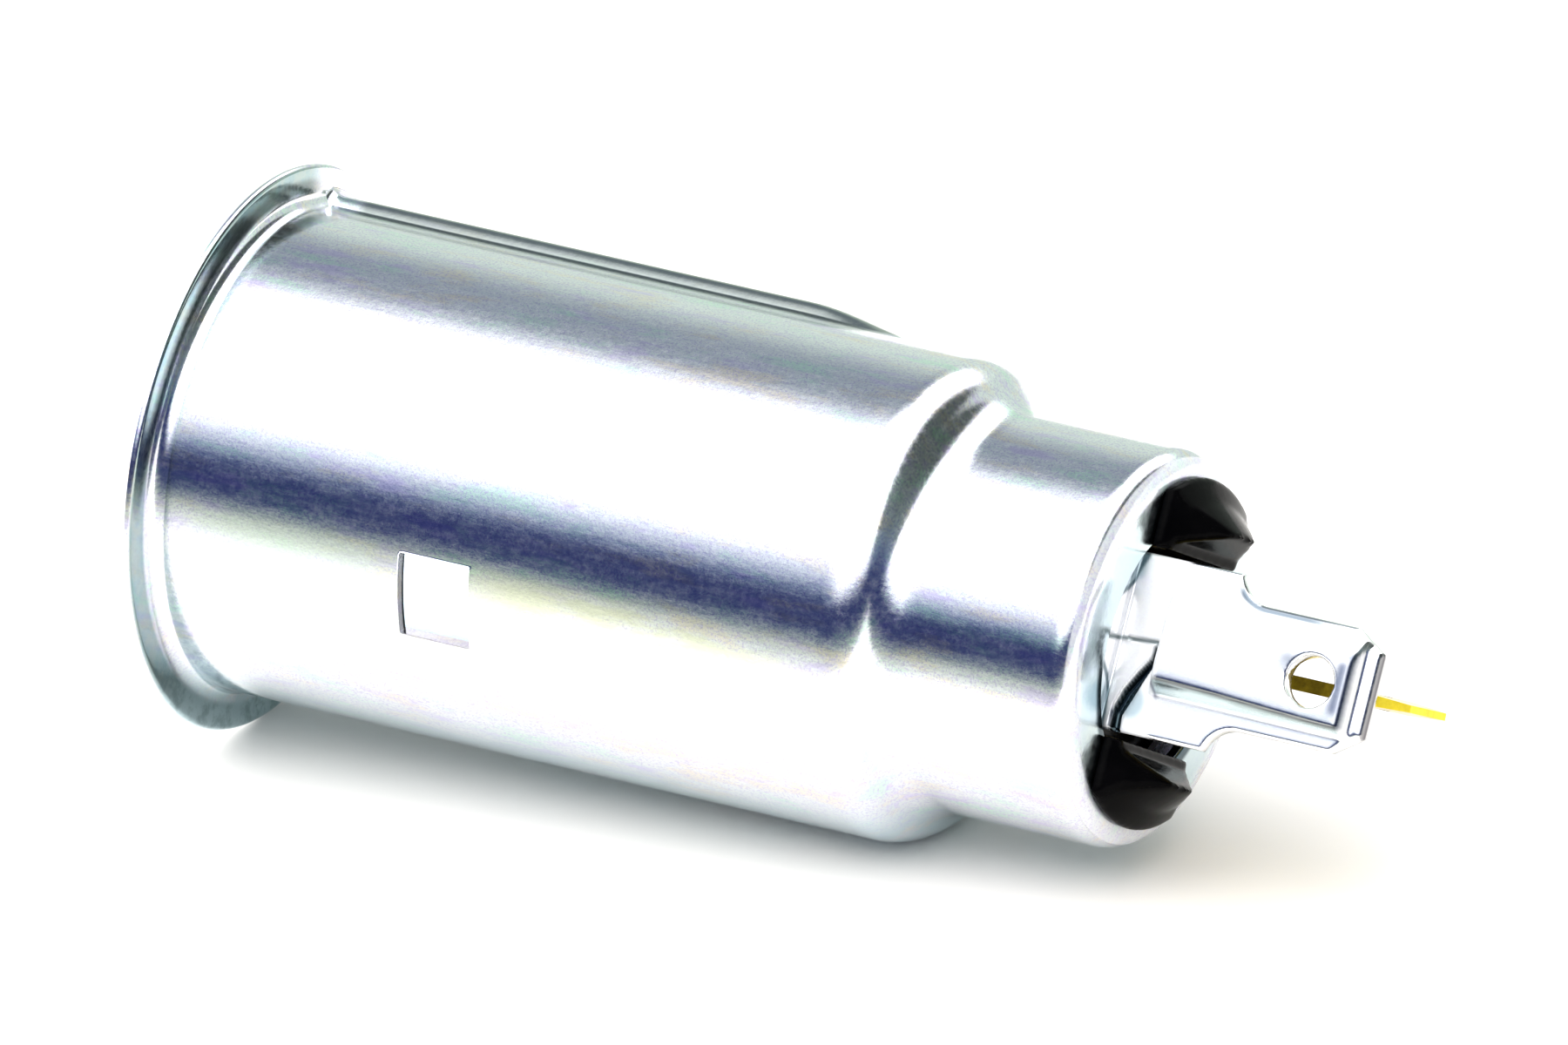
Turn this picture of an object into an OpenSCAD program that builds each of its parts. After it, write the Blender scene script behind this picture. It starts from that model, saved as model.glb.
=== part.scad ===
// Car 12 V power socket: a deep-drawn steel can with a flange at its mouth,
// a moulded insulator snapped into its necked end, and two blade terminals.
// Axis along X, mouth towards -X, terminals towards +X, Z up.
// X = 0 is the back face of the flange, where it meets the panel.

/* [Can] */
// Outside diameter of the main barrel
barrel_diameter = 22.4; // [20:0.1:26]
// Sheet thickness of the can
wall = 0.5; // [0.4:0.05:1]
// Diameter of the mouth flange
flange_diameter = 26.4; // [24:0.1:32]
// Bend radius between flange and barrel, on the outside
flange_fillet = 0.7; // [0.3:0.1:1.5]
// Length of the straight barrel, from the back of the flange to the shoulder
barrel_length = 34.3; // [25:0.1:45]
// Outside diameter of the neck
neck_diameter = 18.5; // [14:0.1:20]
// Convex radius at the top of the shoulder
shoulder_radius = 2.5; // [1:0.1:4]
// Distance from the back of the flange to the end face of the can
can_length = 46.3; // [40:0.1:60]
// Outside radius where the neck turns in to the end face
end_radius = 1.2; // [0.6:0.1:2]
// Diameter of the round opening in the end face
end_opening = 11.6; // [8:0.1:14]

/* [Windows and key] */
// Window size along the axis
window_length = 3.6; // [2:0.1:8]
// Window size across
window_width = 4.0; // [2:0.1:8]
// Front edge of the windows, from the back of the flange
window_start = 12.9; // [5:0.1:30]
// Height of the raised key above the barrel
key_height = 0.85; // [0.3:0.05:1.5]
// Cross radius of the raised key
key_radius = 2.0; // [1:0.1:3]
// Length of the key before it runs out
key_length = 25.4; // [10:0.1:32]
// Length over which the key runs out
key_runout = 5.6; // [1:0.1:8]
// Angle of the key, above the -Y side
key_angle = 124; // [0:1:355]

/* [Insulator] */
// Outside diameter of the insulator body
insulator_diameter = 17.1; // [14:0.1:18]
// Front face of the insulator body
insulator_front = 38.5; // [38:0.1:42]
// Rear face of the insulator body
insulator_rear = 44.4; // [40:0.1:45]
// Distance from the axis to the flat inside face of each leg
leg_inside = 4.4; // [3:0.05:5]
// Half width of the leg barbs
leg_half_width = 4.1; // [2:0.1:5]
// Outer radius of the leg barbs
barb_radius = 8.15; // [6.5:0.05:9]
// End of the legs
leg_tip = 49.1; // [47:0.1:55]

/* [Terminals] */
// Angle of the ground blade's face, above the -Y side
terminal_angle = 30; // [0:0.5:90]
// Angle of the centre blade and its rivet
centre_angle = 27.5; // [0:0.5:90]
// Thickness of the ground blade
blade_thickness = 0.8; // [0.5:0.1:1.2]
// Thickness of the centre blade
centre_thickness = 0.65; // [0.4:0.05:1.2]
// Width of both blades
blade_width = 5.8; // [2.8:0.1:6.3]
// End of the ground blade
blade_tip = 58.7; // [52:0.1:65]
// End of the centre blade
centre_tip = 59.1; // [52:0.1:65]
// Distance from the axis to the outer face of the ground blade
ground_offset = 3.8; // [2:0.1:5]
// Width of the ground blade's root
root_width = 8.2; // [6:0.1:8.4]
// End of the wide root
root_end = 51.0; // [48:0.1:55]
// Diameter of the detent hole in each blade
detent_hole = 2.4; // [1:0.1:3]
// Height of the stiffening bead on the ground blade
bead_height = 0.8; // [0.2:0.1:1.2]

/* [Contact] */
// Radius of the contact cup's base
cup_radius = 5.2; // [3:0.1:7]
// Front edge of the contact cup
cup_front = 34.9; // [34.6:0.1:37]
// Radius of the rivet shank
rivet_radius = 1.5; // [1:0.1:2.5]

/* [Hidden] */
$fn = 96;

barrel_r = barrel_diameter / 2;
bore_r = barrel_r - wall;
flange_r = flange_diameter / 2;
neck_r = neck_diameter / 2;
// the two shoulder arcs meet where the steepest part leans 3 along to 4 across
neck_fillet = (barrel_r - neck_r) / 0.4 - shoulder_radius;
shoulder_end = barrel_length + (shoulder_radius + neck_fillet) * 0.8;
opening_r = end_opening / 2;
key_centre = barrel_r + key_height - key_radius;
cap = can_length - wall;

// everything drawn along +Z is laid along +X
module along_x() rotate([0, 90, 0]) children();
// a feature drawn on the -Y side is turned up by a degrees
module turned(a) rotate([-a, 0, 0]) children();

// the filled section of the can, its surface set in by t; r across, length up
module can_section(t) {
    r1 = shoulder_radius - t;
    r2 = neck_fillet + t;
    c1 = barrel_r - shoulder_radius;
    c2 = neck_r + neck_fillet;
    pr = c1 + r1 * 0.6;
    px = barrel_length + r1 * 0.8;
    rn = neck_r - t;
    re = end_radius - t;
    translate([0, -1]) square([barrel_r - t, barrel_length + 1]);
    intersection() {
        translate([c1, barrel_length]) circle(r = r1);
        translate([0, barrel_length - 1]) square([barrel_r + 1, px - barrel_length + 1]);
    }
    polygon([[0, barrel_length - 1], [c1, barrel_length - 1], [c1, barrel_length],
             [pr, px], [0, px]]);
    difference() {
        polygon([[0, px], [pr, px], [pr, shoulder_end], [0, shoulder_end]]);
        translate([c2, shoulder_end]) circle(r = r2);
    }
    translate([0, shoulder_end - 0.2]) square([rn, can_length - t - re - shoulder_end + 0.2]);
    translate([0, shoulder_end]) square([rn - re, can_length - t - shoulder_end]);
    translate([rn - re, can_length - t - re]) circle(r = re);
}

module outer_section() {
    intersection() {
        can_section(0);
        translate([0, -wall / 2]) square([barrel_r + 1, can_length + 1]);
    }
    translate([0, -wall]) square([flange_r - wall / 2, wall]);
    translate([flange_r - wall / 2, -wall / 2]) circle(r = wall / 2);
    difference() {
        translate([barrel_r - 0.1, -0.1]) square([flange_fillet + 0.1, flange_fillet + 0.1]);
        translate([barrel_r + flange_fillet, flange_fillet]) circle(r = flange_fillet);
    }
}

module inner_section() {
    can_section(wall);
    difference() {
        translate([bore_r - 0.1, -wall - 1])
            square([flange_fillet + wall + 0.1, flange_fillet + wall + 1]);
        translate([barrel_r + flange_fillet, flange_fillet]) circle(r = flange_fillet + wall);
    }
}

// the pressed key: a round ridge that narrows as it runs out into the barrel
module key_ridge(inset, start, lead) {
    r = key_radius - inset;
    turned(key_angle) translate([0, -key_centre, 0]) along_x() rotate_extrude()
        polygon([[0, start], [r - lead, start], [r, start + lead], [r, key_length],
                 [r - key_height - 0.15, key_length + key_runout],
                 [0, key_length + key_runout]]);
}

module window() {
    translate([window_start, -barrel_r - 1, -window_width / 2])
        cube([window_length, 4, window_width]);
}

module shell() {
    color([0.80, 0.82, 0.82]) difference() {
        union() {
            along_x() rotate_extrude() outer_section();
            key_ridge(0, -wall / 2, 0);
        }
        along_x() rotate_extrude() inner_section();
        key_ridge(wall, 1.0, 0.9);
        window();
        turned(180) window();
        translate([cap - 1, 0, 0]) along_x() cylinder(r = opening_r, h = 3);
    }
}

// section of one leg, its barb and its sloping lead-in
module leg_section() {
    polygon([[0, insulator_rear - 1], [opening_r - 0.15, insulator_rear - 1],
             [opening_r - 0.15, can_length], [barb_radius, can_length],
             [barb_radius, can_length + 0.5], [7.2, can_length + 1.1], [5.75, leg_tip],
             [0, leg_tip]]);
}

module leg() {
    intersection() {
        along_x() rotate_extrude() leg_section();
        // plan of the leg, narrowing towards its tip
        translate([0, 0, leg_inside]) linear_extrude(10)
            polygon([[insulator_rear - 0.5, -leg_half_width], [can_length + 0.4, -leg_half_width],
                     [leg_tip + 0.2, -0.6], [leg_tip + 0.2, 0.6],
                     [can_length + 0.4, leg_half_width], [insulator_rear - 0.5, leg_half_width]]);
        // the notch under the tip
        rotate([90, 0, 0]) translate([0, 0, -10]) linear_extrude(20)
            polygon([[insulator_rear - 1, 0], [leg_tip - 2, 0], [leg_tip - 2, leg_inside + 0.4],
                     [leg_tip + 0.1, leg_inside + 1.5], [leg_tip + 0.1, 12], [insulator_rear - 1, 12]]);
    }
}

module insulator() {
    color([0.05, 0.05, 0.05]) turned(terminal_angle) difference() {
        union() {
            along_x() rotate_extrude()
                polygon([[0, insulator_front], [insulator_diameter / 2 - 0.4, insulator_front],
                         [insulator_diameter / 2, insulator_front + 0.4],
                         [insulator_diameter / 2, insulator_rear - 0.3],
                         [insulator_diameter / 2 - 0.3, insulator_rear], [0, insulator_rear]]);
            leg();
            mirror([0, 0, 1]) leg();
        }
        translate([insulator_front - 1, 0, 0]) along_x() cylinder(r = rivet_radius, h = 10);
        translate([insulator_rear - 0.5, 0, 0]) along_x() cylinder(r = 3.4, h = 5);
    }
}

// side section of the ground terminal: foot, bend and blade; x along, -y outward
module ground_section() {
    y = -ground_offset;
    t = blade_thickness;
    difference() {
        union() {
            translate([cap - t, y - 4]) square([t, 4 + t - 1]);
            translate([cap - t + 1, y]) square([blade_tip - cap + t - 1, t]);
            intersection() {
                translate([cap - t + 1, y + t - 1]) circle(r = 1);
                translate([cap - t - 1, y + t - 1]) square([2, 2]);
            }
            translate([cap - 0.2, y - 0.2]) square([0.4, 0.4]);
        }
        translate([cap + 0.2, y - 0.2]) circle(r = 0.2);
        translate([cap + 0.2, y - 0.6]) square([1, 0.6]);
    }
}

// front outline of the ground terminal, x along, width up
module ground_outline() {
    w = blade_width / 2;
    r = root_width / 2;
    translate([cap - 2, -r]) square([root_end - cap + 2, 2 * r]);
    polygon([[root_end - 1, -w], [blade_tip - 1.4, -w], [blade_tip, -w + 0.95],
             [blade_tip, w - 0.95], [blade_tip - 1.4, w], [root_end - 1, w]]);
    for (m = [0, 1]) mirror([0, m]) difference() {
        translate([root_end - 0.1, w - 0.1]) square([1.7, r - w + 0.1]);
        translate([root_end + 1.6, w + 1.6]) circle(r = 1.6);
    }
}

// a pressed bead with drafted sides and ends: flat top from one end to the other
module bead(half, rise, base, from, to) {
    intersection() {
        rotate([90, 0, 90]) translate([0, 0, from - 2]) linear_extrude(to - from + 4)
            polygon([[base, -half - rise * 0.75], [base - rise, -half], [base - rise, half],
                     [base, half + rise * 1.5]]);
        translate([0, 0, -5]) linear_extrude(10)
            polygon([[from - rise * 0.1, base], [from, base - rise], [to, base - rise],
                     [to + rise * 0.5, base]]);
    }
}

module ground_terminal() {
    y = -ground_offset;
    t = blade_thickness;
    color([0.86, 0.87, 0.88]) turned(terminal_angle) difference() {
        union() {
            intersection() {
                translate([0, 0, -5]) linear_extrude(10) ground_section();
                rotate([90, 0, 0]) translate([0, 0, -5]) linear_extrude(20) ground_outline();
                translate([cap - 3, 0, 0]) along_x() cylinder(r = 7.8, h = 30);
            }
            bead(1.45, bead_height + 0.1, y + 0.1, 48.4, blade_tip - 1.3);
        }
        // the hollow behind the bead
        bead(0.7, bead_height + 0.1, y + t + 0.1, 49.1, blade_tip - 1.6);
        // detent hole
        translate([55.9, 5, 0]) rotate([90, 0, 0]) cylinder(r = detent_hole / 2, h = 20);
        // the locking tongue at the root, cut free on three sides
        rotate([90, 0, 0]) linear_extrude(10) {
            polygon([[48.0, -0.2], [47.7, -1.0], [47.1, -1.8], [46.4, -2.7], [46.4, -5],
                     [46.75, -5], [46.85, -2.8], [47.45, -1.9], [47.95, -1.1], [48.15, -0.2]]);
            translate([cap + 0.3, 0.3]) square([48.15 - cap - 0.3, 0.15]);
            translate([48.0, -0.35]) square([0.15, 0.8]);
        }
    }
}

module centre_terminal() {
    far = 4.5;
    near = far - blade_width;
    color([0.80, 0.64, 0.22]) turned(centre_angle) difference() {
        intersection() {
            translate([0, 0, -centre_thickness / 2]) linear_extrude(centre_thickness)
                polygon([[45.4, near], [centre_tip - 1.3, near], [centre_tip, near + 1],
                         [centre_tip, far - 1], [centre_tip - 1.3, far], [47.1, far],
                         [47.1, -near], [45.4, -near]]);
            // thinned tip
            rotate([90, 0, 0]) translate([0, 0, -6]) linear_extrude(12)
                polygon([[45, -1], [centre_tip - 2.4, -1], [centre_tip - 2.4, -centre_thickness / 2],
                         [centre_tip, -0.17], [centre_tip, 0.17],
                         [centre_tip - 2.4, centre_thickness / 2], [centre_tip - 2.4, 1], [45, 1]]);
        }
        translate([55.9, (far + near) / 2, -2]) cylinder(r = detent_hole / 2, h = 4);
    }
}

module centre_rivet() {
    head = 37.6;
    color([0.80, 0.66, 0.30]) turned(centre_angle) difference() {
        along_x() rotate_extrude() {
            translate([0, head - 0.4]) square([2.6, 0.4]);
            intersection() {
                translate([0, head - 0.4 + 5.15]) circle(r = 5.78);
                translate([0, head - 2]) square([2.6, 1.61]);
            }
            translate([0, head - 0.1]) square([rivet_radius, insulator_rear - head + 0.2]);
            translate([0, insulator_rear]) square([2.2, 0.6]);
            translate([0, insulator_rear]) square([1.9, 47.0 - insulator_rear]);
        }
        translate([45.4, -3, -centre_thickness / 2]) cube([3, 6, centre_thickness]);
    }
}

module rivet_washer() {
    color([0.78, 0.64, 0.28]) difference() {
        translate([insulator_rear - 0.5, 0, 0]) along_x() cylinder(r = 3.2, h = 0.5);
        translate([insulator_rear - 1, 0, 0]) along_x() cylinder(r = rivet_radius, h = 2);
    }
}

// spring contact: a pressed disc with a ring of short curved fingers
module contact_cup() {
    b = 38.0;
    t = 0.4;
    color([0.82, 0.80, 0.72]) turned(terminal_angle) difference() {
        along_x() rotate_extrude()
            polygon([[rivet_radius, b - t], [cup_radius - 0.4, b - t],
                     [cup_radius + 0.85, b - 1.7], [cup_radius + 0.6, cup_front],
                     [cup_radius + 1.0, cup_front], [cup_radius + 1.3, b - 1.7],
                     [cup_radius, b], [rivet_radius, b]]);
        for (a = [0:60:120]) rotate([a, 0, 0])
            translate([cup_front - 1, -10, -0.8]) cube([b - t - cup_front + 0.9, 20, 1.6]);
    }
}

module mica_disc() {
    color([0.76, 0.70, 0.58]) difference() {
        translate([38.0, 0, 0]) along_x() cylinder(r = 8.2, h = insulator_front - 38.0);
        translate([37, 0, 0]) along_x() cylinder(r = rivet_radius, h = 3);
    }
}

// disc spring that holds the ground terminal's foot against the end of the can
module spring_washer() {
    a = insulator_rear;
    b = cap - blade_thickness;
    color([0.55, 0.56, 0.58]) along_x() rotate_extrude()
        polygon([[8.2, a], [8.2, a + 0.3], [5.9, b], [5.9, b - 0.3]]);
}

shell();
insulator();
ground_terminal();
centre_terminal();
centre_rivet();
rivet_washer();
contact_cup();
mica_disc();
spring_washer();
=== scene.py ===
import math

import bpy
from mathutils import Matrix, Vector


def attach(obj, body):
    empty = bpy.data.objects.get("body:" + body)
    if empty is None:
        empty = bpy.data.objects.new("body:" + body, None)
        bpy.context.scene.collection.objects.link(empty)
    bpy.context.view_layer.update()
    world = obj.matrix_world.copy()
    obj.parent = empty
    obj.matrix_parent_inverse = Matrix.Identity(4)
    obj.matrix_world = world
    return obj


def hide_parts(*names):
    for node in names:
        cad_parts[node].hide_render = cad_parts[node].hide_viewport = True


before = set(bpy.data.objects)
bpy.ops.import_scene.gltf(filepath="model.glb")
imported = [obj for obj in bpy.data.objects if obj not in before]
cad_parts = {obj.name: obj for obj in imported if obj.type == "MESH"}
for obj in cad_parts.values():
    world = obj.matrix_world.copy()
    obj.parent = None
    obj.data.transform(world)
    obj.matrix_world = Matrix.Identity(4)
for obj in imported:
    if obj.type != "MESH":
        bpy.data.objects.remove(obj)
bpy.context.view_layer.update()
scene = bpy.context.scene
MM = 0.001


# ---------------------------------------------------------------- node helpers
def clean_tree(owner):
    owner.use_nodes = True
    t = owner.node_tree
    t.nodes.clear()
    return t


class Tree:
    """Small wrapper that adds nodes and links by value or socket."""

    def __init__(self, tree):
        self.t = tree

    def node(self, kind, **props):
        n = self.t.nodes.new(kind)
        for k, v in props.items():
            setattr(n, k, v)
        return n

    def put(self, socket, value):
        if isinstance(value, bpy.types.NodeSocket):
            self.t.links.new(value, socket)
        elif value is not None:
            socket.default_value = value

    def math(self, op, a, b=None, c=None, clamp=False):
        n = self.node("ShaderNodeMath", operation=op, use_clamp=clamp)
        for i, v in enumerate((a, b, c)):
            if v is not None:
                self.put(n.inputs[i], v)
        return n.outputs[0]

    def ramp(self, value, lo, hi, out_lo=0.0, out_hi=1.0, smooth=True):
        n = self.node("ShaderNodeMapRange", interpolation_type="SMOOTHSTEP" if smooth else "LINEAR", clamp=True)
        self.put(n.inputs["Value"], value)
        for k, v in (("From Min", lo), ("From Max", hi), ("To Min", out_lo), ("To Max", out_hi)):
            self.put(n.inputs[k], v)
        return n.outputs["Result"]

    def mix(self, fac, a, b, blend="MIX"):
        n = self.node("ShaderNodeMix", data_type="RGBA", blend_type=blend)
        self.put(n.inputs[0], fac)
        for i, v in ((6, a), (7, b)):
            self.put(n.inputs[i], (*v, 1) if isinstance(v, tuple) and len(v) == 3 else v)
        return n.outputs[2]

    def coords(self, scale=(1000, 1000, 1000), rotation=(0, 0, 0)):
        c = self.node("ShaderNodeTexCoord")
        m = self.node("ShaderNodeMapping")
        self.put(m.inputs["Vector"], c.outputs["Object"])
        self.put(m.inputs["Scale"], scale)
        self.put(m.inputs["Rotation"], rotation)
        return m.outputs["Vector"]

    def noise(self, vector, scale, detail=3.0, rough=0.5, distortion=0.0):
        n = self.node("ShaderNodeTexNoise")
        self.put(n.inputs["Vector"], vector)
        self.put(n.inputs["Scale"], scale)
        self.put(n.inputs["Detail"], detail)
        self.put(n.inputs["Roughness"], rough)
        self.put(n.inputs["Distortion"], distortion)
        return n.outputs["Fac"]

    def bump(self, height, strength, distance, normal=None):
        n = self.node("ShaderNodeBump")
        self.put(n.inputs["Height"], height)
        self.put(n.inputs["Strength"], strength)
        self.put(n.inputs["Distance"], distance)
        if normal is not None:
            self.put(n.inputs["Normal"], normal)
        return n.outputs["Normal"]


def new_material(name):
    m = bpy.data.materials.new(name)
    t = Tree(clean_tree(m))
    out = t.node("ShaderNodeOutputMaterial")
    b = t.node("ShaderNodeBsdfPrincipled")
    t.t.links.new(b.outputs[0], out.inputs[0])
    return m, t, b


# ---------------------------------------------------------------- materials
def plated_steel(name, light, dark, rough=(0.12, 0.2), grain=0.6, streak=0.3, cloudy=0.5, tinted=1.0, rim=False):
    m, t, b = new_material(name)
    v = t.coords()
    along = t.coords(scale=(250, 1600, 1600))
    cloud = t.noise(v, 0.16, 4, 0.55)
    fine = t.noise(v, 3.2, 3, 0.65)
    grit = t.noise(v, 9.0, 2, 0.6)
    lines = t.noise(along, 2.4, 3, 0.6)
    spots = t.ramp(t.noise(v, 2.2, 2, 0.5), 0.68, 0.74)
    tone = t.math("ADD", t.math("MULTIPLY", cloud, cloudy), t.math("MULTIPLY", fine, 1.0 - cloudy))
    col = t.mix(t.ramp(tone, 0.35, 0.65), dark, light)
    # faint passivation colours in long smears, and a violet grain
    smear = t.coords(scale=(160, 620, 620))
    hue = t.noise(smear, 1.1, 4, 0.65)
    hue2 = t.noise(smear, 1.7, 4, 0.65)
    col = t.mix(t.math("MULTIPLY", t.ramp(hue, 0.52, 0.68), tinted), col, tuple(x * k for x, k in zip(light, (0.79, 1.0, 0.86))))
    col = t.mix(t.math("MULTIPLY", t.ramp(hue, 0.48, 0.34), tinted), col, tuple(x * k for x, k in zip(light, (1.0, 0.91, 0.80))))
    col = t.mix(t.math("MULTIPLY", t.ramp(hue2, 0.54, 0.68), tinted), col, tuple(x * k for x, k in zip(light, (0.87, 0.79, 1.0))))
    violet = tuple(x * k for x, k in zip(dark, (0.78, 0.69, 0.94)))
    col = t.mix(t.math("MULTIPLY", t.ramp(grit, 0.45, 0.69), tinted * 0.75), col, violet)
    col = t.mix(t.math("MULTIPLY", spots, 0.2), col, tuple(x * 0.8 for x in dark))
    metal = None
    if tinted < 0.5:
        # painted shade and painted reflections on the folds, edges and grooves, read from the tone attribute; less
        # metallic where the satin attribute says
        painted_shade_attr = t.node("ShaderNodeAttribute", attribute_name="tone")
        col = t.mix(painted_shade_attr.outputs["Alpha"], col, painted_shade_attr.outputs["Color"])
        satin = t.node("ShaderNodeAttribute", attribute_name="satin")
        metal = t.math("SUBTRACT", 1.0, satin.outputs["Fac"])
    if rim:
        # painted shade and painted dark reflections on the back of the flange, near side only: a teal band, a dark
        # crescent near the rim at the top, darker towards the bottom
        place = t.node("ShaderNodeSeparateXYZ")
        t.put(place.inputs[0], v)
        px, py, pz = place.outputs
        rr = t.math("SQRT", t.math("ADD", t.math("MULTIPLY", py, py), t.math("MULTIPLY", pz, pz)))
        mask = t.math("MULTIPLY", t.ramp(rr, 11.75, 12.05), t.math("MULTIPLY", t.ramp(px, 0.16, 0.04), t.ramp(px, -0.12, -0.02)))
        mask = t.math("MULTIPLY", mask, t.ramp(py, 3.4, 5.6, 1.0, 0.0))
        flange_painted_shade = t.mix(t.ramp(hue2, 0.4, 0.6), (0.23, 0.36, 0.38), (0.30, 0.39, 0.36))
        inner = t.math("MULTIPLY", t.ramp(rr, 12.35, 12.75, 1.0, 0.0), t.ramp(pz, 1.0, 5.0))
        flange_painted_shade = t.mix(t.math("MULTIPLY", inner, 0.85), flange_painted_shade, (0.035, 0.07, 0.06))
        flange_painted_shade = t.mix(t.ramp(pz, -5.5, -10.5, 0.0, 0.7), flange_painted_shade, (0.10, 0.18, 0.19))
        col = t.mix(t.math("MULTIPLY", mask, 0.85), col, flange_painted_shade)
        # painted shade on the upper sides of the pressed key
        kx = t.math("ADD", t.math("MULTIPLY", py, -math.sin(math.radians(34.0))), t.math("MULTIPLY", pz, -math.cos(math.radians(34.0))))
        flank = t.math("MULTIPLY", t.ramp(rr, 11.24, 11.34), t.math("MULTIPLY", t.ramp(px, 1.4, 2.2), t.ramp(px, 31.0, 29.0)))
        flank = t.math("MULTIPLY", flank, t.ramp(pz, 6.0, 7.0))
        col = t.mix(t.math("MULTIPLY", flank, 0.9), col, (0.30, 0.34, 0.32))
        # painted reflection tints on the near side at mid height, broken up by noise: yellow-green along the middle of
        # the barrel, faint green near the flange
        side = t.math("MULTIPLY", t.ramp(pz, -3.4, -0.8), t.math("MULTIPLY", t.ramp(pz, 2.8, 1.2), t.ramp(py, -9.6, -10.6)))
        blotch = t.ramp(t.noise(smear, 0.8, 4, 0.6), 0.38, 0.56)
        side = t.math("MULTIPLY", side, blotch)
        painted_reflection_patch = t.math("MULTIPLY", side, t.math("MULTIPLY", t.ramp(px, 14.0, 19.0), t.ramp(px, 35.0, 30.0)))
        col = t.mix(t.math("MULTIPLY", painted_reflection_patch, 0.85), col, (0.80, 0.81, 0.62))
        painted_reflection_patch = t.math("MULTIPLY", side, t.math("MULTIPLY", t.ramp(px, 0.6, 2.5), t.ramp(px, 15.0, 9.0)))
        col = t.mix(t.math("MULTIPLY", painted_reflection_patch, 0.7), col, (0.72, 0.80, 0.72))
        # and a painted blue-green reflection tint underneath
        under = t.math("MULTIPLY", t.ramp(pz, -6.2, -9.6), t.math("MULTIPLY", t.ramp(rr, 9.0, 9.2), t.ramp(hue2, 0.34, 0.56, 0.35, 1.0)))
        col = t.mix(t.math("MULTIPLY", under, 0.8), col, (0.60, 0.76, 0.80))
        # the end face with a painted pale cyan shade, a painted dark shade on the lower lip of the opening, and a worn,
        # less metallic band round its corner
        face = t.math("MULTIPLY", t.ramp(px, 46.22, 46.28), t.ramp(rr, 8.4, 7.6))
        col = t.mix(t.math("MULTIPLY", face, 0.8), col, (0.52, 0.64, 0.66))
        lip = t.math("MULTIPLY", t.ramp(rr, 6.5, 6.2), t.math("MULTIPLY", t.ramp(px, 45.5, 45.7), t.ramp(pz, 2.6, 0.6)))
        col = t.mix(t.math("MULTIPLY", lip, 0.92), col, (0.035, 0.06, 0.075))
        corner = t.math("MULTIPLY", t.ramp(px, 45.84, 45.94), t.ramp(rr, 7.9, 8.2))
        cut = t.math("MULTIPLY", t.ramp(rr, 10.84, 10.92), t.ramp(rr, 11.19, 11.17))
        cut = t.math("MULTIPLY", cut, t.math("MULTIPLY", t.ramp(px, 12.84, 12.88), t.ramp(px, 12.96, 12.92)))
        metal = t.math("SUBTRACT", 1.0, t.math("MULTIPLY", t.math("MAXIMUM", corner, cut), 0.6))
    t.put(b.inputs["Base Color"], col)
    b.inputs["Metallic"].default_value = 1.0
    if metal is not None:
        t.put(b.inputs["Metallic"], metal)
    t.put(b.inputs["Roughness"], t.ramp(t.math("ADD", t.math("MULTIPLY", fine, 0.5), t.math("MULTIPLY", lines, 0.5)), 0.35, 0.65, *rough))
    h = t.math("ADD", t.math("MULTIPLY", lines, streak), t.math("MULTIPLY", fine, grain))
    t.put(b.inputs["Normal"], t.bump(h, 0.55, 0.000013))
    return m


def brass(name):
    m, t, b = new_material(name)
    v = t.coords()
    along = t.coords(scale=(80, 1500, 1500))
    cloud = t.noise(v, 0.6, 4, 0.6)
    lines = t.noise(along, 3.0, 3, 0.6)
    grit = t.noise(v, 6.0, 2, 0.6)
    col = t.mix(t.ramp(cloud, 0.35, 0.7), (0.84, 0.66, 0.10), (0.60, 0.42, 0.04))
    col = t.mix(t.math("MULTIPLY", t.ramp(grit, 0.5, 0.75), 0.4), col, (0.42, 0.30, 0.05))
    t.put(b.inputs["Base Color"], col)
    b.inputs["Metallic"].default_value = 1.0
    t.put(b.inputs["Roughness"], t.ramp(cloud, 0.3, 0.7, 0.16, 0.30))
    t.put(b.inputs["Normal"], t.bump(lines, 0.3, 0.00001))
    return m


def aged_brass(name):
    m, t, b = new_material(name)
    v = t.coords()
    cloud = t.noise(v, 0.9, 4, 0.6)
    fine = t.noise(v, 7.0, 3, 0.6)
    col = t.mix(t.ramp(cloud, 0.3, 0.7), (0.46, 0.34, 0.08), (0.28, 0.20, 0.05))
    t.put(b.inputs["Base Color"], col)
    b.inputs["Metallic"].default_value = 1.0
    t.put(b.inputs["Roughness"], t.ramp(fine, 0.3, 0.7, 0.26, 0.42))
    t.put(b.inputs["Normal"], t.bump(fine, 0.3, 0.00001))
    return m


def black_plastic(name):
    m, t, b = new_material(name)
    v = t.coords()
    cloud = t.noise(v, 0.5, 4, 0.6)
    fine = t.noise(v, 5.0, 3, 0.6)
    t.put(b.inputs["Base Color"], t.mix(t.ramp(cloud, 0.3, 0.7), (0.0008, 0.0008, 0.0010), (0.0018, 0.0017, 0.0020)))
    t.put(b.inputs["Roughness"], t.ramp(fine, 0.3, 0.7, 0.12, 0.20))
    b.inputs["IOR"].default_value = 1.5
    b.inputs["Specular IOR Level"].default_value = 0.02
    t.put(b.inputs["Normal"], t.bump(t.math("ADD", t.math("MULTIPLY", fine, 0.3), cloud), 0.2, 0.00002))
    return m


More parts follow.
